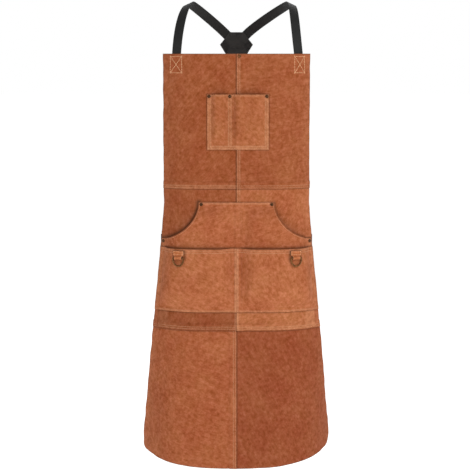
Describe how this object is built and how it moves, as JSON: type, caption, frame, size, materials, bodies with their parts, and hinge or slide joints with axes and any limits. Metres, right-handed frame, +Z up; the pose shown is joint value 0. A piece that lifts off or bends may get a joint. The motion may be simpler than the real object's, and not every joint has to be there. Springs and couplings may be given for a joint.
{
  "type": "welding apron",
  "caption": "Rust suede leather welding apron with chest, kangaroo and lower pockets, D-rings and black cross-back straps",
  "frame": {"origin": "on the flat back face of the bib's left panel, on the apron's middle line, 60 mm below the bib's top edge", "axes": "+Z up along the apron, -Y out of its front, +X to the right as seen from the front"},
  "size_m": [0.497, 0.2992, 1.2014],
  "materials": {
    "suede_leather": "split suede, mottled rust brown",
    "black_leather": "smooth grained",
    "black_webbing": "woven nylon",
    "black_plastic": "moulded acetal",
    "antique_brass": "aged, worn"
  },
  "bodies": {
    "apron": {"bib_left": "suede_leather", "bib_right": "suede_leather", "waist_left": "suede_leather", "waist_right": "suede_leather", "skirt_left": "suede_leather", "skirt_right": "suede_leather", "chest_pocket": "suede_leather", "kangaroo_pocket": "suede_leather", "lower_pocket_left": "suede_leather", "lower_pocket_right": "suede_leather", "pocket_band_left": "suede_leather", "pocket_band_right": "suede_leather", "chest_rivet_left": "antique_brass", "chest_rivet_middle": "antique_brass", "chest_rivet_right": "antique_brass", "pocket_top_rivet_left": "antique_brass", "pocket_top_rivet_right": "antique_brass", "pocket_side_rivet_left": "antique_brass", "pocket_side_rivet_right": "antique_brass", "bib_rivet": "antique_brass", "ring_tab_left": "suede_leather", "ring_tab_right": "suede_leather", "patch_inner": "black_leather", "patch_outer": "black_leather", "shoulder_strap_left": "black_webbing", "shoulder_strap_right": "black_webbing", "lower_strap_left": "black_webbing", "lower_strap_right": "black_webbing", "hip_tab_left": "black_webbing", "hip_tab_right": "black_webbing", "buckle_socket_left": "black_plastic", "buckle_socket_right": "black_plastic"},
    "d_ring_left": {"d_ring_left": "antique_brass"},
    "buckle_plug_left": {"buckle_plug_left": "black_plastic", "upper_prong_left": "black_plastic", "lower_prong_left": "black_plastic"},
    "d_ring_right": {"d_ring_right": "antique_brass"},
    "buckle_plug_right": {"buckle_plug_right": "black_plastic", "upper_prong_right": "black_plastic", "lower_prong_right": "black_plastic"}
  },
  "joints": [
    {"name": "d_ring_left_swing", "type": "hinge", "parent": "apron", "child": "d_ring_left", "pos_m": [-0.14774, -0.02289, -0.452], "axis": [0.9485, -0.3167, 0], "range_deg": [-150, 4]},
    {"name": "buckle_left_release", "type": "slide", "parent": "apron", "child": "buckle_plug_left", "axis": [0, 1, 0], "range_m": [0, 0.035], "deforming": ["upper_prong_left", "lower_prong_left", "lower_strap_left"]},
    {"name": "d_ring_right_swing", "type": "hinge", "parent": "apron", "child": "d_ring_right", "pos_m": [0.15111, -0.02173, -0.452], "axis": [0.9431, 0.3324, 0], "range_deg": [-150, 4]},
    {"name": "buckle_right_release", "type": "slide", "parent": "apron", "child": "buckle_plug_right", "axis": [0, 1, 0], "range_m": [0, 0.035], "deforming": ["upper_prong_right", "lower_prong_right", "lower_strap_right"]}
  ]
}
